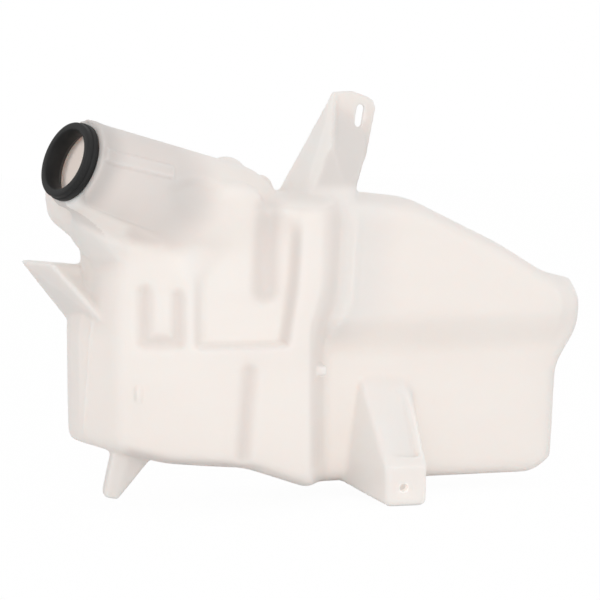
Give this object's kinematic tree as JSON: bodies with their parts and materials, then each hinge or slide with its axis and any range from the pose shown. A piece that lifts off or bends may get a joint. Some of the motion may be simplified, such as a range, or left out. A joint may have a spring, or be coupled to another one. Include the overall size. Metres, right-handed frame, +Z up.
{
  "type": "washer fluid reservoir",
  "caption": "Blow-moulded washer fluid tank with a sloping filler neck and rubber seal, a side wing, a slotted top tab, a side ear, a leg and a bolted foot.",
  "frame": {"origin": "Centre of the foot's bolt hole on the face of its pad.", "axes": "+X along the tank from the filler neck towards the wing, +Y from the pad's face back into the tank, +Z up as the tank stands in the picture."},
  "size_m": [0.4727, 0.1596, 0.3347],
  "materials": {
    "tank_plastic": "translucent white blown polyethylene, satin",
    "seal_rubber": "black moulded rubber, slight sheen"
  },
  "bodies": {
    "root": {"tank": "tank_plastic", "filler_seal": "seal_rubber"}
  },
  "joints": []
}
